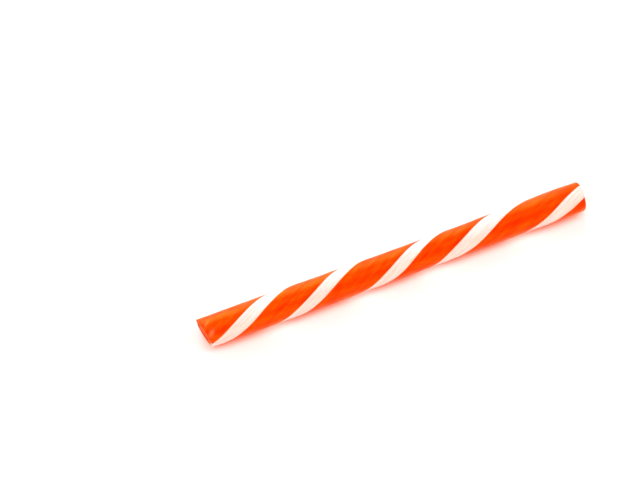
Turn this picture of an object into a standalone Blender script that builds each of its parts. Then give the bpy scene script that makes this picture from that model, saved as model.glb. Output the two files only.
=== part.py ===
"""A stick of hard candy: a round bar of orange boiled sugar, pulled and twisted, with two white stripes.

The bar lies along X and rests on z = 0, on the narrow flat where it lay while it set. Its two cut ends
are at -X and +X. An angle about the bar is measured from the top, towards -Y, in degrees.
"""

import math

import bmesh
import bpy
from mathutils import Vector

MM = 0.001

# The bar.
LENGTH = 127.0 * MM
HALF = LENGTH / 2
# Where along the bar, from the middle, and how thick it is there: pulled by hand, so thinner past the middle.
THICKNESS = (
    (-63.5 * MM, 9.65 * MM),
    (-45.0 * MM, 9.77 * MM),
    (-20.0 * MM, 9.47 * MM),
    (0.0 * MM, 9.21 * MM),
    (22.0 * MM, 9.15 * MM),
    (42.0 * MM, 9.43 * MM),
    (54.0 * MM, 9.75 * MM),
    (63.5 * MM, 9.45 * MM),
)
BOW = 0.2 * MM
FLAT_DEPTH = 0.16 * MM

# The twist. It turns against the right-hand rule about +X, tightest in the middle and looser at both ends.
TURN_PER_HALF = 451.0
TURN_EASING = 40.0
TURN_LEAN = 27.0
TURN_TIPS = 14.0

# The two cut ends, -1 the near and 1 the far one: the crimp leaves them a little skew, with a rounded rim.
END_SKEW = {-1: -0.22, 1: 0.06}
SKEW_FADE = 14.0 * MM
END_RIM = {-1: 0.40 * MM, 1: 0.90 * MM}
RIM_STEPS = 3

# The stripes: a strip of white sugar let into the bar. Place and width are angles at mid-length, and
# widening is how much wider the strip is at the far end than in the middle. Pulled by hand, its two edges
# stray a few degrees from that course: where along the bar, and how far.
STRIPES = {
    "white_stripe_1": {
        "place": 36.0,
        "width": 54.0,
        "widening": 0.0,
        "start_strays": (
            (-63.5 * MM, -1.0),
            (-52.0 * MM, -2.0),
            (-6.0 * MM, -2.5),
            (2.0 * MM, 0.0),
            (46.0 * MM, 5.0),
            (60.0 * MM, 0.0),
            (63.5 * MM, 0.0),
        ),
        "end_strays": (
            (-63.5 * MM, 2.0),
            (-50.0 * MM, 1.5),
            (-42.0 * MM, -0.5),
            (1.0 * MM, 4.0),
            (9.0 * MM, 0.5),
            (57.0 * MM, 4.5),
            (63.5 * MM, 1.5),
        ),
    },
    "white_stripe_2": {
        "place": 200.0,
        "width": 61.0,
        "widening": 16.0,
        "start_strays": (
            (-63.5 * MM, 0.0),
            (-36.0 * MM, -4.0),
            (-24.0 * MM, 3.0),
            (12.0 * MM, 4.0),
            (17.0 * MM, -1.5),
            (25.0 * MM, 0.5),
            (63.5 * MM, 0.0),
        ),
        "end_strays": (
            (-63.5 * MM, 0.0),
            (-26.0 * MM, 1.0),
            (-13.0 * MM, 3.5),
            (26.0 * MM, 4.0),
            (37.0 * MM, 1.0),
            (63.5 * MM, 0.0),
        ),
    },
}
STRIPE_DEPTH = 1.1 * MM
STRIPE_LEAN_IN = 4.0
STRIPE_CLEAR_OF_TABLE = 0.1 * MM
GAP = 0.3 * MM

# How finely the solids are divided.
STATION_STEP = 2.25 * MM
LAND_POINTS = 13
FLOOR_POINTS = 6
STRIP_POINTS = 8

ORANGE_HEX = "FA4B0A"
WHITE_HEX = "FBF1EA"
CANDY_ROUGHNESS = 0.32


def linear_rgba(hex_code):
    """An sRGB hex colour as the linear colour that a shader takes."""
    channels = [int(hex_code[i : i + 2], 16) / 255 for i in (0, 2, 4)]
    return [c / 12.92 if c <= 0.04045 else ((c + 0.055) / 1.055) ** 2.4 for c in channels] + [1.0]


def eased(t):
    """0 to 1, starting and ending gently."""
    t = min(max(t, 0.0), 1.0)
    return t * t * (3 - 2 * t)


def along_bar(measured, x):
    """A measured value at x, eased from each place along the bar to the next."""
    for (x0, value0), (x1, value1) in zip(measured, measured[1:]):
        if x <= x1:
            break
    return value0 + (value1 - value0) * eased((x - x0) / (x1 - x0))


def radius_at(x):
    return along_bar(THICKNESS, x) / 2


def turned_by(x):
    """How far the bar has been twisted at x, in degrees, counted from the middle."""
    u = x / HALF
    return -TURN_PER_HALF * u + TURN_LEAN * u**2 + TURN_EASING * u**3 - TURN_TIPS * u**4


def sideways_at(x):
    """The slow bow of the bar's centre line, shared out so that the bar stays centred on y = 0."""
    return -BOW * (math.cos(math.pi * x / LENGTH) - 0.5)


def stripe_at(stripe, x):
    """The stripe's centre and half its width at x, as angles."""
    half = (stripe["width"] + stripe["widening"] * x / HALF) / 2
    start = along_bar(stripe["start_strays"], x) - half
    end = along_bar(stripe["end_strays"], x) + half
    return stripe["place"] + turned_by(x) + (start + end) / 2, (end - start) / 2


def arc(centre, half_width, count):
    """Evenly spaced angles from one side of the centre to the other."""
    return [centre + half_width * (2 * i / (count - 1) - 1) for i in range(count)]


def stations():
    """(x, how far the rounded rim draws the surface in) at each section, from one end to the other."""
    near, far = END_RIM[-1], END_RIM[1]
    quarter = [math.radians(90 * k / RIM_STEPS) for k in range(1, RIM_STEPS + 1)]
    near_rim = [(-HALF + near * (1 - math.sin(a)), near * (1 - math.cos(a))) for a in quarter]
    far_rim = [(HALF - far * (1 - math.sin(a)), far * (1 - math.cos(a))) for a in quarter]
    straight = LENGTH - near - far
    count = round(straight / STATION_STEP)
    middle = [(-HALF + near + straight * i / count, 0.0) for i in range(count + 1)]
    return near_rim[::-1] + middle + far_rim


def point_on_bar(x, angle, radius):
    """The point at this angle and distance from the bar's centre line, with the skew of the nearer end."""
    a = math.radians(angle)
    y = sideways_at(x) - radius * math.sin(a)
    z = radius_at(x) - FLAT_DEPTH + radius * math.cos(a)
    end = 1 if x > 0 else -1
    skew = END_SKEW[end] * eased(1 - (HALF - abs(x)) / SKEW_FADE)
    squared_off = 1 - abs(END_SKEW[end]) * (radius_at(end * HALF) - END_RIM[end]) / HALF
    return Vector((x * squared_off + skew * y, y, z))


def strip_section(stripe, x, inset):
    """A strip of white across the bar: its outer arc, flush with the bar, and its narrower inner arc."""
    centre, half = stripe_at(stripe, x)
    outer = [(a, radius_at(x) - inset) for a in arc(centre, half, STRIP_POINTS)]
    inner = [(a, radius_at(x) - STRIPE_DEPTH) for a in arc(centre, half - STRIPE_LEAN_IN, FLOOR_POINTS)]
    return outer + inner[::-1]


def body_section(x, inset):
    """The bar across: an arc of outer surface and then the floor of a groove, for each stripe in turn."""
    points = []
    radius = radius_at(x)
    floor = radius - STRIPE_DEPTH - GAP
    spans = [stripe_at(stripe, x) for stripe in STRIPES.values()]
    for i, (centre, half) in enumerate(spans):
        following, following_half = spans[(i + 1) % len(spans)]
        following += 360 * (following < centre)
        mouth = half + math.degrees(GAP / radius)
        bed = half - STRIPE_LEAN_IN + math.degrees(GAP / floor)
        points += [(a, floor) for a in arc(centre, bed, FLOOR_POINTS)]
        start = centre + mouth
        stop = following - following_half - math.degrees(GAP / radius)
        points += [(a, radius - inset) for a in arc((start + stop) / 2, (stop - start) / 2, LAND_POINTS)]
    return points


def loft(name, section):
    """A closed body through the section at each station, with a flat face over each end."""
    bm = bmesh.new()
    rings = []
    for x, inset in stations():
        rings.append([bm.verts.new(point_on_bar(x, a, r)) for a, r in section(x, inset)])
    count = len(rings[0])
    for ring, following in zip(rings, rings[1:]):
        for i in range(count):
            j = (i + 1) % count
            bm.faces.new((ring[i], following[i], following[j], ring[j]))
    bm.faces.new(rings[0])
    bm.faces.new(rings[-1][::-1])
    bmesh.ops.recalc_face_normals(bm, faces=bm.faces)
    mesh = bpy.data.meshes.new(name)
    bm.to_mesh(mesh)
    bm.free()
    return bpy.data.objects.new(name, mesh)


def table_cutter(name, top):
    """A slab whose upper face, at z = top, takes off what the bar lay on."""
    depth = 4 * MM
    bm = bmesh.new()
    bmesh.ops.create_cube(bm, size=1.0)
    bmesh.ops.scale(bm, vec=(1.2 * LENGTH, 20 * MM, depth), verts=bm.verts)
    mesh = bpy.data.meshes.new(name)
    bm.to_mesh(mesh)
    bm.free()
    cutter = bpy.data.objects.new(name, mesh)
    cutter.location.z = top - depth / 2
    cutter.hide_render = True
    cutter.display_type = "WIRE"
    return cutter


def flatten_underside(piece, cutter):
    cut = piece.modifiers.new("underside", "BOOLEAN")
    cut.operation = "DIFFERENCE"
    cut.solver = "EXACT"
    cut.object = cutter


def candy_material(name, hex_code):
    material = bpy.data.materials.new(name)
    material.use_nodes = True
    shader = material.node_tree.nodes["Principled BSDF"]
    shader.inputs["Base Color"].default_value = linear_rgba(hex_code)
    shader.inputs["Roughness"].default_value = CANDY_ROUGHNESS
    shader.inputs["Metallic"].default_value = 0.0
    return material


def clear_scene():
    for obj in list(bpy.data.objects):
        bpy.data.objects.remove(obj, do_unlink=True)


def new_collection(name):
    collection = bpy.data.collections.new(name)
    bpy.context.scene.collection.children.link(collection)
    return collection


def main():
    clear_scene()
    stick = new_collection("hard candy stick")
    cutters = new_collection("cutters")
    orange = candy_material("orange boiled sugar", ORANGE_HEX)
    white = candy_material("white boiled sugar", WHITE_HEX)

    whole = bpy.data.objects.new("stick", None)
    stick.objects.link(whole)

    table = table_cutter("table", 0.0)
    raised_table = table_cutter("table under the stripes", STRIPE_CLEAR_OF_TABLE)
    cutters.objects.link(table)
    cutters.objects.link(raised_table)

    pieces = [(loft("candy_body", body_section), orange, table)]
    for name, stripe in STRIPES.items():
        strip = loft(name, lambda x, inset, stripe=stripe: strip_section(stripe, x, inset))
        pieces.append((strip, white, raised_table))

    for piece, material, cutter in pieces:
        stick.objects.link(piece)
        piece.parent = whole
        piece.data.materials.append(material)
        flatten_underside(piece, cutter)
        piece.data.shade_smooth()
        piece.data.set_sharp_from_angle(angle=math.radians(40))


main()
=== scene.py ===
"""The looks of a stick of hard candy: an orange bar of pulled sugar with two white stripes let into it.

The bar lies along X on the table, z = 0. Its two cut ends are at -X and +X, called -1 and 1 below. Angles
about the bar are in degrees, from the top towards -Y.
"""

import math
from collections import namedtuple

import bpy
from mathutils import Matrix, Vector, noise


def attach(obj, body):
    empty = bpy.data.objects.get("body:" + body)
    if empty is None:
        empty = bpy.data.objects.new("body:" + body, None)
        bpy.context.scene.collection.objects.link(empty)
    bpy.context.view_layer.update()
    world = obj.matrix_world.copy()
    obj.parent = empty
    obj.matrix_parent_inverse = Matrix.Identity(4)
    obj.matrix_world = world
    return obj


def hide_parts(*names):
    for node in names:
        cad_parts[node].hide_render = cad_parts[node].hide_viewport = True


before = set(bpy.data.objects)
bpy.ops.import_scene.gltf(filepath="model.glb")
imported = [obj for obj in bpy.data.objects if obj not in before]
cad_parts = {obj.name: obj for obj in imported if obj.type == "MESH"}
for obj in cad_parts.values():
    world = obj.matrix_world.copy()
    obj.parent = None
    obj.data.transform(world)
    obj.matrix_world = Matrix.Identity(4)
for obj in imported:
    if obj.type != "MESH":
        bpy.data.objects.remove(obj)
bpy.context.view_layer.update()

MM = 0.001

# ---- The stick's own sizes, the same as the solids' ----

LENGTH = 127.0 * MM
HALF = LENGTH / 2
# Where along the bar, from the middle, and how thick it is there: pulled by hand, so thinner past the middle.
THICKNESS = (
    (-63.5 * MM, 9.65 * MM),
    (-45.0 * MM, 9.77 * MM),
    (-20.0 * MM, 9.47 * MM),
    (0.0 * MM, 9.21 * MM),
    (22.0 * MM, 9.15 * MM),
    (42.0 * MM, 9.43 * MM),
    (54.0 * MM, 9.75 * MM),
    (63.5 * MM, 9.45 * MM),
)
BOW = 0.2 * MM
FLAT_DEPTH = 0.16 * MM

# The twist. It turns against the right-hand rule about +X, tightest in the middle and looser at both ends.
TURN_PER_HALF = 451.0
TURN_EASING = 40.0
TURN_LEAN = 27.0
TURN_TIPS = 14.0

# The two cut ends: a little skew, with a rounded rim.
END_SKEW = {-1: -0.22, 1: 0.06}
SKEW_FADE = 14.0 * MM
END_RIM = {-1: 0.40 * MM, 1: 0.90 * MM}

# The stripes. Place and width are angles at mid-length, and widening is how much wider the stripe is at the
# far end than in the middle. Its two edges stray from that: where along the bar, and by how many degrees.
STRIPES = {
    "white_stripe_1": {
        "place": 36.0,
        "width": 54.0,
        "widening": 0.0,
        "start_strays": (
            (-63.5 * MM, -1.0),
            (-52.0 * MM, -2.0),
            (-6.0 * MM, -2.5),
            (2.0 * MM, 0.0),
            (46.0 * MM, 5.0),
            (60.0 * MM, 0.0),
            (63.5 * MM, 0.0),
        ),
        "end_strays": (
            (-63.5 * MM, 2.0),
            (-50.0 * MM, 1.5),
            (-42.0 * MM, -0.5),
            (1.0 * MM, 4.0),
            (9.0 * MM, 0.5),
            (57.0 * MM, 4.5),
            (63.5 * MM, 1.5),
        ),
    },
    "white_stripe_2": {
        "place": 200.0,
        "width": 61.0,
        "widening": 16.0,
        "start_strays": (
            (-63.5 * MM, 0.0),
            (-36.0 * MM, -4.0),
            (-24.0 * MM, 3.0),
            (12.0 * MM, 4.0),
            (17.0 * MM, -1.5),
            (25.0 * MM, 0.5),
            (63.5 * MM, 0.0),
        ),
        "end_strays": (
            (-63.5 * MM, 0.0),
            (-26.0 * MM, 1.0),
            (-13.0 * MM, 3.5),
            (26.0 * MM, 4.0),
            (37.0 * MM, 1.0),
            (63.5 * MM, 0.0),
        ),
    },
}
STRIPE_DEPTH = 1.1 * MM
STRIPE_LEAN_IN = 4.0

# ---- What only shows close up ----

# The fused joint between the two sugars: a hairline, with a faint groove along it.
HAIRLINE = 0.012 * MM
JOINT_GROOVE = 0.025 * MM
JOINT_GROOVE_WIDTH = 0.28 * MM

# Ridges that run with the pull: (how many go round the bar, how high). Each set drifts a little round the
# bar, and swells and fades, over the lengths below, in mm.
PULL_RIDGES = ((5, 0.025 * MM), (9, 0.016 * MM), (17, 0.010 * MM))
RIDGE_APART = 2.4
RIDGE_DRIFT = 1.6
RIDGE_DRIFT_LENGTH = 40.0
RIDGE_STRENGTH = 0.6
RIDGE_SWELL = 0.8
RIDGE_SWELL_LENGTH = 25.0

# Fine lines between the ridges: their length and width are in mm.
PULL_LINE_HEIGHT = 0.010 * MM
PULL_LINE_LENGTH = 14.0
PULL_LINE_WIDTH = 0.45

# Shallow dents from rolling. DENT_TURN is how quickly they change round the bar.
ROLL_DENT_HEIGHT = 0.040 * MM
ROLL_DENT_LENGTH = 13.0 * MM
DENT_TURN = 1.3

# Painted highlights by the near end: paler patches that stand for light caught on the skin by the cut. How
# far along the bar, at what angle, half as long and half as wide as they look, and how strong. They lie
# aslant to the bar, at the slant below.
PAINTED_HIGHLIGHTS = (
    (-62.1 * MM, 27.0, 1.5 * MM, 0.65 * MM, 1.0),
    (-61.8 * MM, -14.0, 1.4 * MM, 0.4 * MM, 0.6),
)
HIGHLIGHT_SLANT = math.radians(-40.0)

# All of it is cut into the smooth bar, and the ends stop short by a hair, so that nothing stands out of it.
SKIN_ALLOWANCE = 0.03 * MM
END_ALLOWANCE = 0.01 * MM

# The cut ends broke like glass: hollowed unevenly by up to CUT_FACE_SINK, with ripples round the place where
# the cutter bit. HOLLOWS are (how many to the mm, how much of the sink); the places and spacing are in mm.
CUT_FACE_SINK = 0.45 * MM
CUT_FACE_EVEN = 0.55
CUT_FACE_HOLLOWS = ((0.45, 0.35), (1.4, 0.25))
CUT_FACES_APART = 3.0
CUTTER_BITE = {-1: (-3.6, 3.4), 1: (3.2, 3.9)}
RIPPLE_HEIGHT = 0.035 * MM
RIPPLE_SPACING = 0.95

# How finely the meshes are divided: along the bar, round its rims, and across it. The rings and rows across
# the end faces are shares of their size, and an edge that turns by more than CRISP_EDGE isn't smoothed.
STATION_STEP = 0.5 * MM
RIM_STEPS = 7
LAND_POINTS = 84
STRIP_POINTS = 40
FLOOR_POINTS = 12
CUT_FACE_RINGS = (0.97, 0.93, 0.88, 0.82, 0.76, 0.7, 0.63, 0.56, 0.49, 0.42, 0.35, 0.28, 0.21, 0.14, 0.07)
STRIP_SIDE_ROWS = (0.2, 0.4, 0.6, 0.8)
CRISP_EDGE = math.radians(50)


def eased(t):
    """0 to 1, starting and ending gently."""
    t = min(max(t, 0.0), 1.0)
    return t * t * (3 - 2 * t)


def along_bar(measured, x):
    """A measured value at x, eased from each place along the bar to the next."""
    for (x0, value0), (x1, value1) in zip(measured, measured[1:]):
        if x <= x1:
            break
    return value0 + (value1 - value0) * eased((x - x0) / (x1 - x0))


def radius_at(x):
    return along_bar(THICKNESS, x) / 2


def turned_by(x):
    """How far the bar has been twisted at x, in degrees, counted from the middle."""
    u = x / HALF
    return -TURN_PER_HALF * u + TURN_LEAN * u**2 + TURN_EASING * u**3 - TURN_TIPS * u**4


def sideways_at(x):
    """The slow bow of the bar's centre line, shared out so that the bar stays centred on y = 0."""
    return -BOW * (math.cos(math.pi * x / LENGTH) - 0.5)


def around(angle):
    """An angle brought to between -180 and 180 degrees."""
    return (angle + 180) % 360 - 180


def stripe_at(stripe, x):
    """The stripe's centre and half its width at x, as angles."""
    half = (stripe["width"] + stripe["widening"] * x / HALF) / 2
    start = along_bar(stripe["start_strays"], x) - half
    end = along_bar(stripe["end_strays"], x) + half
    return stripe["place"] + turned_by(x) + (start + end) / 2, (end - start) / 2


def stations():
    """(x, how far the rounded rim draws the surface in) at each section, from one end to the other."""
    near, far = END_RIM[-1], END_RIM[1]
    quarter = [math.radians(90 * k / RIM_STEPS) for k in range(1, RIM_STEPS + 1)]
    near_rim = [(-HALF + near * (1 - math.sin(a)), near * (1 - math.cos(a))) for a in quarter]
    far_rim = [(HALF - far * (1 - math.sin(a)), far * (1 - math.cos(a))) for a in quarter]
    straight = LENGTH - near - far
    count = round(straight / STATION_STEP)
    middle = [(-HALF + near + straight * i / count, 0.0) for i in range(count + 1)]
    return near_rim[::-1] + middle + far_rim


def placed(x, angle, radius):
    """Where the sugar at this angle and distance from the centre line lies, on the table and cut askew."""
    a = math.radians(angle)
    y = sideways_at(x) - radius * math.sin(a)
    z = radius_at(x) - FLAT_DEPTH + radius * math.cos(a)
    end = 1 if x > 0 else -1
    skew = END_SKEW[end] * eased(1 - (HALF - abs(x)) / SKEW_FADE)
    drawn_in = abs(END_SKEW[end]) * (radius_at(end * HALF) - END_RIM[end]) + END_ALLOWANCE
    squared_off = 1 - drawn_in / HALF
    return Vector((x * squared_off + skew * y, y, max(z, 0.0)))


def in_batch(x, angle, radius):
    """Where the same sugar was before the bar was twisted, in mm: all the pulled grain runs along X there."""
    a = math.radians(angle - turned_by(x))
    return Vector((x, radius * math.sin(a), radius * math.cos(a))) / MM


def relief(x, angle):
    """How far the real skin stands off the smooth bar: pulled ridges, fine lines and dents from rolling."""
    turn = math.radians(angle - turned_by(x))
    place = in_batch(x, angle, radius_at(x))
    height = 0.0
    for k, (count, amount) in enumerate(PULL_RIDGES):
        # Each set of ridges reads the noise along a line of its own.
        drift = noise.noise(Vector((place.x / RIDGE_DRIFT_LENGTH, 7.3 * k, 0.0)))
        swell = noise.noise(Vector((place.x / RIDGE_SWELL_LENGTH, 3.1 * k, 5.0)))
        strength = RIDGE_STRENGTH + RIDGE_SWELL * swell
        height += amount * strength * math.cos(count * turn + RIDGE_APART * k + RIDGE_DRIFT * drift)
    line = Vector((place.x / PULL_LINE_LENGTH, place.y / PULL_LINE_WIDTH, place.z / PULL_LINE_WIDTH))
    height += PULL_LINE_HEIGHT * noise.noise(line)
    a = math.radians(angle)
    dent = Vector((x / ROLL_DENT_LENGTH, DENT_TURN * math.sin(a), DENT_TURN * math.cos(a)))
    height += ROLL_DENT_HEIGHT * noise.noise(dent)
    return height


def from_joint(x, angle):
    """How far along the skin the nearest joint between orange and white is."""
    nearest = 360.0
    for stripe in STRIPES.values():
        centre, half = stripe_at(stripe, x)
        nearest = min(nearest, abs(abs(around(angle - centre)) - half))
    return math.radians(nearest) * radius_at(x)


def highlight_strength_at(x, angle):
    """How strong the painted highlight by the near end is here, from 0 to 1."""
    worst = 0.0
    for place, turn, length, width, strength in PAINTED_HIGHLIGHTS:
        off = math.radians(around(angle - turn)) * radius_at(x)
        lengthways = (x - place) * math.cos(HIGHLIGHT_SLANT) + off * math.sin(HIGHLIGHT_SLANT)
        across = off * math.cos(HIGHLIGHT_SLANT) - (x - place) * math.sin(HIGHLIGHT_SLANT)
        worst = max(worst, strength * math.exp(-((lengthways / length) ** 2) - (across / width) ** 2))
    return worst


def skin(x, angle, inset):
    """How far the skin is from the bar's centre line, where the rim draws it in by inset."""
    groove = JOINT_GROOVE * math.exp(-((from_joint(x, angle) / (JOINT_GROOVE_WIDTH / 2)) ** 2))
    return radius_at(x) - inset - SKIN_ALLOWANCE + relief(x, angle) - groove


def arc(centre, half_width, count):
    """Evenly spaced angles from one side of the centre to the other."""
    return [centre + half_width * (2 * i / (count - 1) - 1) for i in range(count)]


def between(outer, inner, share):
    """The points that lie this share of the way from an outer arc to an inner one."""
    return [(a + (b - a) * share, r + (q - r) * share) for (a, r), (b, q) in zip(outer, inner)]


def strip_arcs(stripe, x, inset):
    """A white strip's arcs across the bar, from its skin down to its narrower underside."""
    centre, half = stripe_at(stripe, x)
    outer = [(a, skin(x, a, inset)) for a in arc(centre, half, STRIP_POINTS)]
    inner = [(a, radius_at(x) - STRIPE_DEPTH) for a in arc(centre, half - STRIPE_LEAN_IN, STRIP_POINTS)]
    return [outer] + [between(outer, inner, share) for share in STRIP_SIDE_ROWS] + [inner]


def strip_section(stripe, x, inset):
    """The strip's outline there: along its skin, down one side, back underneath and up the other side."""
    outer, *rows, inner = strip_arcs(stripe, x, inset)
    return outer + [row[-1] for row in rows] + inner[::-1] + [row[0] for row in reversed(rows)]


def bar_section(x, inset):
    """The orange bar across: the bed of a stripe and then an arc of skin, for each stripe in turn."""
    points = []
    bed_radius = radius_at(x) - STRIPE_DEPTH - HAIRLINE
    spare = math.degrees(HAIRLINE / bed_radius)
    spans = [stripe_at(stripe, x) for stripe in STRIPES.values()]
    for i, (centre, half) in enumerate(spans):
        following, following_half = spans[(i + 1) % len(spans)]
        following += 360 * (following < centre)
        points += [(a, bed_radius) for a in arc(centre, half - STRIPE_LEAN_IN + spare, FLOOR_POINTS)]
        start = centre + half + spare
        stop = following - following_half - spare
        points += [(a, skin(x, a, inset)) for a in arc((start + stop) / 2, (stop - start) / 2, LAND_POINTS)]
    return points


def cut_face_sink(x, angle, radius):
    """How far along X the broken face is sunk here. It meets the rim flush."""
    end = 1 if x > 0 else -1
    inside = max(1 - (radius / (radius_at(x) - END_RIM[end])) ** 2, 0.0)
    a = math.radians(angle)
    across = Vector((radius * math.sin(a), radius * math.cos(a), CUT_FACES_APART * end * MM)) / MM
    hollow = CUT_FACE_EVEN
    for per_mm, share in CUT_FACE_HOLLOWS:
        hollow += share * noise.noise(per_mm * across)
    from_bite = (across.xy - Vector(CUTTER_BITE[end])).length
    ripple = 0.5 + 0.5 * math.cos(2 * math.pi * from_bite / RIPPLE_SPACING)
    return -end * (CUT_FACE_SINK * inside**0.5 * max(hollow, 0.0) + RIPPLE_HEIGHT * ripple * inside)


class Sugar:
    """A mesh in the making. For each point it keeps where its sugar was in the batch, how far the nearest
    joint is, in mm, how torn it is, and how strong the painted highlight is there, from 0 to 1.
    """

    def __init__(self):
        self.points = []
        self.batch = []
        self.joint = []
        self.torn = []
        self.painted_highlight = []
        self.faces = []

    def put(self, x, angle, radius, sink=0.0, torn=0.0):
        point = placed(x, angle, radius)
        point.x += sink
        self.points.append(point)
        self.batch.append(in_batch(x, angle, radius))
        self.joint.append(from_joint(x, angle) / MM)
        self.torn.append(torn)
        self.painted_highlight.append(highlight_strength_at(x, angle))
        return len(self.points) - 1

    def ring(self, x, section, torn):
        return [self.put(x, angle, radius, 0.0, torn) for angle, radius in section]

    def torn_ring(self, x, section, share=1.0):
        """The section drawn in to this share of its size, on the broken end face."""
        return [self.put(x, a, r * share, cut_face_sink(x, a, r * share), 1.0) for a, r in section]

    def bridge(self, ring, following, closed=True, flipped=False):
        """Faces from one ring of points to the next."""
        count = len(ring)
        for i in range(count if closed else count - 1):
            j = (i + 1) % count
            corners = (ring[i], ring[j], following[j], following[i])
            self.faces.append(corners[::-1] if flipped else corners)

    def draw_out(self, rows):
        """Skins the rows, each (x, section, how torn), and gives back the outline of each end face."""
        rings = [self.ring(*row) for row in rows[1:-1]]
        near_end = self.torn_ring(*rows[0][:2])
        far_end = self.torn_ring(*rows[-1][:2])
        rings = [near_end] + rings + [far_end]
        for ring, following in zip(rings, rings[1:]):
            self.bridge(ring, following)
        return near_end, far_end

    def finished(self, name, material):
        mesh = bpy.data.meshes.new(name)
        mesh.from_pydata(self.points, [], self.faces)
        where = mesh.attributes.new("batch", "FLOAT_VECTOR", "POINT")
        where.data.foreach_set("vector", [c for point in self.batch for c in point])
        for mark, values in (("joint", self.joint), ("torn", self.torn), ("painted_highlight", self.painted_highlight)):
            mesh.attributes.new(mark, "FLOAT", "POINT").data.foreach_set("value", values)
        mesh.update()
        mesh.shade_smooth()
        mesh.set_sharp_from_angle(angle=CRISP_EDGE)
        mesh.materials.append(material)
        piece = bpy.data.objects.new(name, mesh)
        bpy.context.scene.collection.objects.link(piece)
        return piece


def pull_bar(material):
    """The orange bar, with a bed for each stripe. Its near rim is torn, more so towards the cut."""
    sugar = Sugar()
    rows = [(x, bar_section(x, inset), inset / END_RIM[-1] if x < 0 else 0.0) for x, inset in stations()]
    near_end, far_end = sugar.draw_out(rows)
    for (x, section, _), ring, flipped in ((rows[0], near_end, True), (rows[-1], far_end, False)):
        for share in CUT_FACE_RINGS:
            inner = sugar.torn_ring(x, section, share)
            sugar.bridge(ring, inner, flipped=flipped)
            ring = inner
        middle = sugar.put(x, 0.0, 0.0, cut_face_sink(x, 0.0, 0.0), 1.0)
        for i in range(len(ring)):
            corners = (ring[(i + 1) % len(ring)], middle, ring[i])
            sugar.faces.append(corners[::-1] if flipped else corners)
    return sugar.finished("orange_bar", material)


def pull_stripe(name, stripe, material):
    """A white strip. Each end face is filled in rows, from the skin down to the underside."""
    sugar = Sugar()
    rows = [(x, strip_section(stripe, x, inset), 0.0) for x, inset in stations()]
    near_end, far_end = sugar.draw_out(rows)
    side = len(STRIP_SIDE_ROWS)
    for (x, inset), ring, flipped in ((stations()[0], near_end, True), (stations()[-1], far_end, False)):
        row = ring[:STRIP_POINTS]
        down = ring[STRIP_POINTS : STRIP_POINTS + side]
        underside = ring[STRIP_POINTS + side : 2 * STRIP_POINTS + side][::-1]
        up = ring[2 * STRIP_POINTS + side :][::-1]
        for k, points in enumerate(strip_arcs(stripe, x, inset)[1:-1]):
            following = [up[k]] + sugar.torn_ring(x, points[1:-1]) + [down[k]]
            sugar.bridge(row, following, closed=False, flipped=flipped)
            row = following
        sugar.bridge(row, underside, closed=False, flipped=flipped)
    return sugar.finished(name, material)


# ---- Finishes ----

# A pattern in the pulled sugar: the length and width of its grains in mm, drawn out along the pull; how much
# finer detail it has; a seed; the noise at which it starts and at which it is full; and its least and most.
Grain = namedtuple("Grain", "length width detail seed starts full least most", defaults=(0.0, 1.0, 0.0, 1.0))

# In the orange: folds of the batch show as soft clouds about 2 mm wide, and air as long threads of 0.7 mm.
CLOUDS = Grain(7.0, 2.2, 4.0, 1, 0.36, 0.64)
THREADS = Grain(14.0, 0.7, 4.0, 2, 0.50, 0.72, 0.0, 0.35)
# Real specks of darker sugar are about 0.2 mm wide, too fine to show. They are drawn over twice as coarse.
SPECKS = Grain(1.3, 0.55, 2.0, 5, 0.52, 0.75, 0.0, 0.7)
# Where it broke: glassy facets about 1 mm across.
SHARDS = Grain(1.1, 1.1, 4.0, 8, 0.42, 0.66)

# In the white: bundles of drawn-out air, 0.7 mm wide, make it silky.
SILK = Grain(12.0, 0.7, 5.0, 6, 0.38, 0.62)
# Real pores are about 0.2 mm wide, too fine to show. They are drawn over twice as coarse.
PORES = Grain(1.6, 0.5, 2.0, 9, 0.52, 0.72, 0.0, 0.7)

# How rough the skin is: smears about 2 mm wide, glossier and duller, from rolling on a slab.
ORANGE_SMEARS = Grain(6.0, 2.0, 4.0, 3, 0.3, 0.7, 0.28, 0.44)
WHITE_SMEARS = Grain(6.0, 1.6, 4.0, 3, 0.3, 0.7, 0.32, 0.48)
TORN_ORANGE_ROUGHNESS = 0.5
TORN_WHITE_ROUGHNESS = 0.6

# Real lines of the pull are under 0.1 mm apart, too fine to show. They are drawn over twice as coarse.
ORANGE_LINES = Grain(12.0, 0.28, 3.0, 4)
WHITE_LINES = Grain(12.0, 0.22, 3.0, 7)
LINE_STRENGTH = 0.35
LINE_HEIGHT = 0.03 * MM

# How far apart in the noise two seeds lie, so that no pattern repeats another.
SEED_STEPS = (3.7, 5.1, 2.3)

# The two sugars melted into one another along the joint: how far from it that shows, in mm, and how much.
SEAM_WIDTH = 0.35
SEAM_STRENGTH = 0.5
BLUSH_WIDTH = 0.45
BLUSH_STRENGTH = 0.55

# Several sockets of a Mix node share a name, so they go by number: its two numbers and what they make, and
# its two colours and what they make.
NUMBER_A, NUMBER_B, MIXED_NUMBER = 2, 3, 0
COLOUR_A, COLOUR_B, MIXED_COLOUR = 6, 7, 2


def linear(hex_code):
    """An sRGB hex colour as the linear colour that a shader takes."""
    channels = [int(hex_code[i : i + 2], 16) / 255 for i in (0, 2, 4)]
    return [c / 12.92 if c <= 0.04045 else ((c + 0.055) / 1.055) ** 2.4 for c in channels] + [1.0]


def add(tree, kind, inputs=(), **settings):
    """Adds one node with its settings, and fills its inputs with values or other nodes' outputs.

    The inputs are given by name or number, or simply in the node's own order.
    """
    node = tree.nodes.new("ShaderNode" + kind)
    for name, value in settings.items():
        setattr(node, name, value)
    for key, value in inputs.items() if isinstance(inputs, dict) else enumerate(inputs):
        if isinstance(value, bpy.types.NodeSocket):
            tree.links.new(value, node.inputs[key])
        else:
            node.inputs[key].default_value = value
    return node


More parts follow.
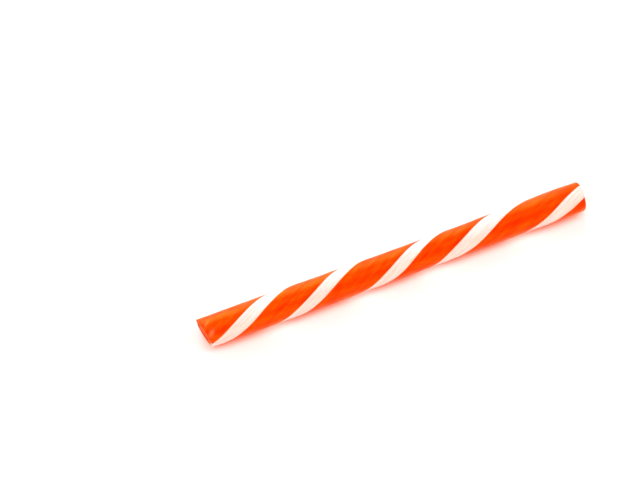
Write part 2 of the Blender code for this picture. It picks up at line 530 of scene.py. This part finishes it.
def pulled(tree, grain):
    """The grain as it lay in the batch, so that it follows the twist of the bar."""
    batch = add(tree, "Attribute", attribute_name="batch").outputs["Vector"]
    elsewhere = [grain.seed * step for step in SEED_STEPS]
    drawn_out = (1 / grain.length, 1 / grain.width, 1 / grain.width)
    place = add(tree, "Mapping", {"Vector": batch, "Location": elsewhere, "Scale": drawn_out})
    fibres = add(tree, "TexNoise", {"Vector": place.outputs["Vector"], "Scale": 1.0, "Detail": grain.detail})
    limits = (grain.starts, grain.full, grain.least, grain.most)
    return add(tree, "MapRange", (fibres.outputs["Fac"], *limits)).outputs["Result"]


def finish_sugar(tree, shader, colour, layers, smears, torn_roughness, lines):
    """Colours the sugar, with each layer over the last as far as its share says, and gives it its skin: the
    satin that rolling leaves, duller where the sugar broke, with fine lines along the pull.
    """
    for share, layer in layers:
        mixed = add(tree, "Mix", {"Factor": share, COLOUR_A: colour, COLOUR_B: layer}, data_type="RGBA")
        colour = mixed.outputs[MIXED_COLOUR]
    tree.links.new(colour, shader.inputs["Base Color"])
    torn = add(tree, "Attribute", attribute_name="torn").outputs["Fac"]
    rough = add(tree, "Mix", {"Factor": torn, NUMBER_A: pulled(tree, smears), NUMBER_B: torn_roughness})
    tree.links.new(rough.outputs[MIXED_NUMBER], shader.inputs["Roughness"])
    fine = {"Height": pulled(tree, lines), "Strength": LINE_STRENGTH, "Distance": LINE_HEIGHT}
    tree.links.new(add(tree, "Bump", fine).outputs["Normal"], shader.inputs["Normal"])


def start_finish(name):
    material = bpy.data.materials.new(name)
    material.use_nodes = True
    return material, material.node_tree, material.node_tree.nodes["Principled BSDF"]


def orange_pulled_sugar():
    """Hard candy: boiled sugar, coloured, pulled a little and rolled.

    Few air bubbles are left in it, so light goes deep and comes back saturated. The eye sees a glassy
    red-orange under a satin skin, with paler clouds and threads of air that follow the twist.
    """
    material, tree, shader = start_finish("orange pulled sugar")
    deep = linear("EF3800")
    bright = linear("EF5600")
    airy = linear("F2781C")
    burnt = linear("E03800")
    # Painted highlight: the pale orange laid on by the near end.
    highlight_colour = linear("FF8E6C")
    seam = linear("EE3C00")
    broken = linear("D81800")
    glassy = linear("EE3C00")

    joint = add(tree, "Attribute", attribute_name="joint").outputs["Fac"]
    near_joint = add(tree, "MapRange", (joint, 0.0, SEAM_WIDTH, SEAM_STRENGTH, 0.0)).outputs["Result"]
    painted_highlight = add(tree, "Attribute", attribute_name="painted_highlight").outputs["Fac"]
    torn = add(tree, "Attribute", attribute_name="torn").outputs["Fac"]
    facets = {"Factor": pulled(tree, SHARDS), COLOUR_A: broken, COLOUR_B: glassy}
    torn_face = add(tree, "Mix", facets, data_type="RGBA").outputs[MIXED_COLOUR]
    layers = (
        (pulled(tree, CLOUDS), bright),
        (pulled(tree, THREADS), airy),
        (pulled(tree, SPECKS), burnt),
        # The pale patches by the near end are a painted highlight, not a mark in the sugar.
        (painted_highlight, highlight_colour),
        (near_joint, seam),
        (torn, torn_face),
    )
    finish_sugar(tree, shader, deep, layers, ORANGE_SMEARS, TORN_ORANGE_ROUGHNESS, ORANGE_LINES)

    # Sugar glass bends light by about 1.50. Red light goes deepest into it, about 2.5 mm, and blue hardly at
    # all. The yellow tints stand for light that comes back from just under the skin towards its edges.
    shader.inputs["IOR"].default_value = 1.50
    shader.inputs["Specular IOR Level"].default_value = 0.6
    shader.inputs["Specular Tint"].default_value = linear("FFF030")
    shader.inputs["Sheen Weight"].default_value = 0.25
    shader.inputs["Sheen Roughness"].default_value = 0.4
    shader.inputs["Sheen Tint"].default_value = linear("FFD800")
    shader.inputs["Subsurface Weight"].default_value = 1.0
    shader.inputs["Subsurface Radius"].default_value = (1.0, 0.5, 0.1)
    shader.inputs["Subsurface Scale"].default_value = 2.5 * MM
    return material


def white_pulled_sugar():
    """Hard candy: boiled sugar without colour, pulled over and over until it is full of fine air.

    The air makes it opaque. The eye sees an off-white with a silky grain along the pull, duller than the
    orange, and blushed where the orange has melted into it.
    """
    material, tree, shader = start_finish("white pulled sugar")
    chalk = linear("F0E8E6")
    cream = linear("E8DCD8")
    pore = linear("DACEC8")
    blush = linear("FBB48C")
    glowing = linear("FFDECB")

    joint = add(tree, "Attribute", attribute_name="joint").outputs["Fac"]
    near_joint = add(tree, "MapRange", (joint, 0.0, BLUSH_WIDTH, BLUSH_STRENGTH, 0.0)).outputs["Result"]
    torn = add(tree, "Attribute", attribute_name="torn").outputs["Fac"]
    layers = (
        (pulled(tree, SILK), chalk),
        (pulled(tree, PORES), pore),
        (near_joint, blush),
        (torn, glowing),
    )
    finish_sugar(tree, shader, cream, layers, WHITE_SMEARS, TORN_WHITE_ROUGHNESS, WHITE_LINES)

    # The same sugar, but its air turns light back within about 0.6 mm.
    shader.inputs["IOR"].default_value = 1.50
    shader.inputs["Subsurface Weight"].default_value = 1.0
    shader.inputs["Subsurface Radius"].default_value = (1.0, 0.8, 0.7)
    shader.inputs["Subsurface Scale"].default_value = 0.6 * MM
    return material


# ---- The table, the light and the camera ----

TABLE_HALF = 1.5

# The studio's soft boxes are all far off, brightest in the middle and dark from SOFT_BOX_EDGE on. For each:
# the way to it from the stick, how bright it is, and the colour of its cloth. In turn they are overhead,
# behind, low behind, low in front, in front, and past each end.
ROOM_LIGHT = 0.10
BACKDROP = 0.95
SOFT_BOX_EDGE = math.cos(math.radians(23.0))
WHITE_CLOTH = (1.0, 1.0, 1.0)
ORANGE_CLOTH = (1.0, 0.24, 0.0)
SOFT_BOXES = (
    ((0.0, 0.03, 1.0), 2.0, WHITE_CLOTH),
    ((0.0, 0.79, 0.62), 3.2, WHITE_CLOTH),
    ((0.0, 0.98, 0.2), 3.4, WHITE_CLOTH),
    ((0.0, -0.98, 0.17), 2.3, WHITE_CLOTH),
    ((0.0, -0.79, 0.62), 3.9, ORANGE_CLOTH),
    ((-0.67, 0.0, 0.74), 3.2, WHITE_CLOTH),
    ((0.67, 0.0, 0.74), 3.2, WHITE_CLOTH),
)

CAMERA_ELEVATION = math.radians(70.0)
CAMERA_AZIMUTH = math.radians(21.04)
CAMERA_DISTANCE = 633.5 * MM
CAMERA_AIM = Vector((-17.915 * MM, 17.33 * MM, 0.0))
CAMERA_FIELD_OF_VIEW = math.radians(18.0)


def lay_table():
    """A plain table top of white card, matt and even, so that the glow of the sugar shows on it."""
    material, _, shader = start_finish("white card")
    shader.inputs["Base Color"].default_value = linear("FBFBFF")
    shader.inputs["Roughness"].default_value = 0.8
    mesh = bpy.data.meshes.new("table")
    corners = [(x * TABLE_HALF, y * TABLE_HALF, 0.0) for x, y in ((-1, -1), (1, -1), (1, 1), (-1, 1))]
    mesh.from_pydata(corners, [], [(0, 1, 2, 3)])
    mesh.materials.append(material)
    table = bpy.data.objects.new("table", mesh)
    bpy.context.scene.collection.objects.link(table)


def light_studio():
    """A dim white room with soft boxes all round, and a plain backdrop that only the camera sees.

    The orange cloth stands for the glow that the sugar throws on the table on the side of its shadow.
    """
    world = bpy.data.worlds.new("white room")
    world.use_nodes = True
    tree = world.node_tree
    toward = add(tree, "TexCoord").outputs["Generated"]
    light = add(tree, "CombineXYZ", (ROOM_LIGHT, ROOM_LIGHT, ROOM_LIGHT)).outputs["Vector"]
    for way, brightness, cloth in SOFT_BOXES:
        off = add(tree, "VectorMath", (toward, Vector(way).normalized()), operation="DOT_PRODUCT")
        share = add(tree, "MapRange", (off.outputs["Value"], SOFT_BOX_EDGE, 1.0, 0.0, brightness))
        box = add(tree, "VectorMath", {0: cloth, "Scale": share.outputs["Result"]}, operation="SCALE")
        light = add(tree, "VectorMath", (light, box.outputs["Vector"]), operation="ADD").outputs["Vector"]
    lit = tree.nodes["Background"]
    tree.links.new(light, lit.inputs["Color"])
    backdrop = add(tree, "Background", {"Color": (1.0, 1.0, 1.0, 1.0), "Strength": BACKDROP})
    seen = add(tree, "LightPath").outputs["Is Camera Ray"]
    room = add(tree, "MixShader", (seen, lit.outputs[0], backdrop.outputs[0]))
    tree.links.new(room.outputs[0], tree.nodes["World Output"].inputs["Surface"])
    bpy.context.scene.world = world


def set_camera():
    data = bpy.data.cameras.new("camera")
    data.sensor_fit = "HORIZONTAL"
    data.angle = CAMERA_FIELD_OF_VIEW
    camera = bpy.data.objects.new("camera", data)
    bpy.context.scene.collection.objects.link(camera)
    level = math.cos(CAMERA_ELEVATION)
    height = math.sin(CAMERA_ELEVATION)
    back = Vector((-math.sin(CAMERA_AZIMUTH) * level, -math.cos(CAMERA_AZIMUTH) * level, height))
    camera.location = CAMERA_AIM + CAMERA_DISTANCE * back
    camera.rotation_euler = (CAMERA_AIM - camera.location).to_track_quat("-Z", "Y").to_euler()
    bpy.context.scene.camera = camera


def main():
    set_camera()
    light_studio()
    lay_table()
    bpy.context.scene.view_settings.view_transform = "Standard"
    bpy.context.scene.view_settings.look = "High Contrast"

    bar = pull_bar(orange_pulled_sugar())
    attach(bar, "root")
    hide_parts("candy_body")

    white = white_pulled_sugar()
    for node_name, stripe in STRIPES.items():
        strip = pull_stripe(node_name.replace("stripe", "sugar"), stripe, white)
        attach(strip, "root")
        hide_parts(node_name)


main()
